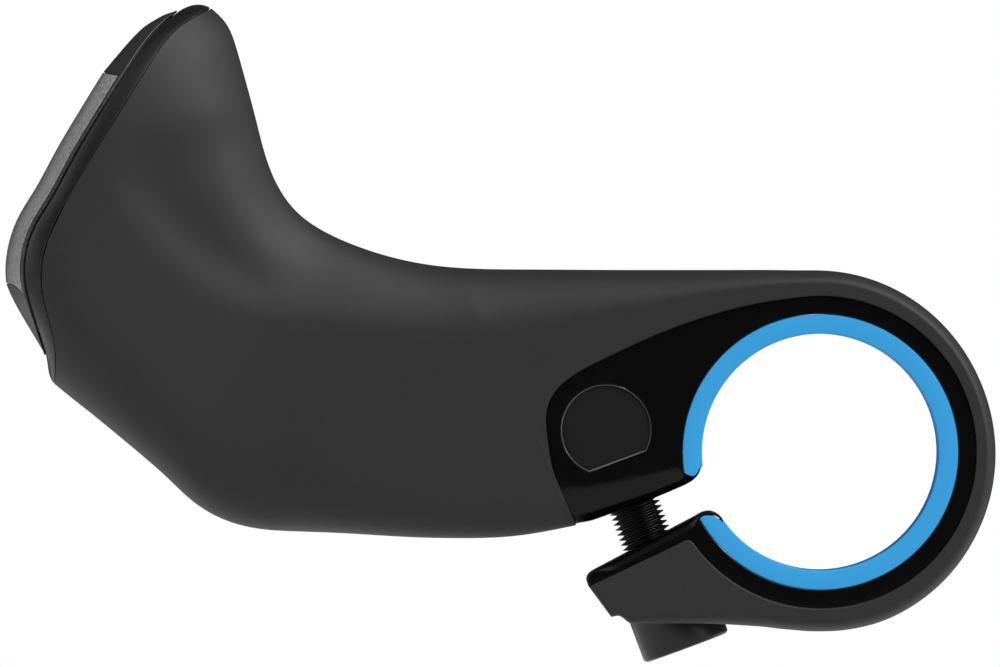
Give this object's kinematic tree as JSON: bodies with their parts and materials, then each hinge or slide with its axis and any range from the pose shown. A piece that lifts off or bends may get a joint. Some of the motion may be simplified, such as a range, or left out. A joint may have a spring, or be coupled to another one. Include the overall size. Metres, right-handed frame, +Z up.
{
  "type": "bicycle bar end",
  "caption": "Short inner bar end: a matte thumb horn with a domed, inlaid end cap on an open C-clamp with a coloured liner, closed by a barrel nut and a cap screw.",
  "frame": {"origin": "on the handlebar's axis, in the middle of the clamp's width", "axes": "+Y along the handlebar, +Z up, +X away from the thumb horn, which reaches towards -X and up"},
  "size_m": [0.0933, 0.024, 0.0619],
  "materials": {
    "gloss_black": "polished black moulded nylon",
    "soft_grey": "matte soft-touch overmould",
    "liner_blue": "even light blue moulded plastic",
    "nut_steel": "dark oxidised steel",
    "screw_black": "black oxide steel",
    "washer_steel": "zinc-plated steel",
    "cap_black": "black plastic with a fine moulded grain",
    "inlay_grey": "fine blasted light grey"
  },
  "bodies": {
    "bar_end": {"core": "gloss_black", "grip": "soft_grey", "clamp_liner": "liner_blue", "barrel_nut": "nut_steel", "end_cap": "cap_black", "cap_inlay": "inlay_grey"},
    "washer": {"screw_washer": "washer_steel"},
    "screw": {"clamp_screw": "screw_black"}
  },
  "joints": [
    {"name": "screw_travel", "type": "slide", "parent": "bar_end", "child": "washer", "axis": [0.3469, 0, -0.9379], "range_m": [0, 0.0065]},
    {"name": "screw_turn", "type": "hinge", "parent": "washer", "child": "screw", "pos_m": [-0.0201, 0, 0.0021], "axis": [0.3469, 0, -0.9379], "range_deg": [0, 4690]}
  ],
  "couplings": [
    {"joint": "screw_turn", "follows": "screw_travel", "rad_per_m": 12566}
  ]
}
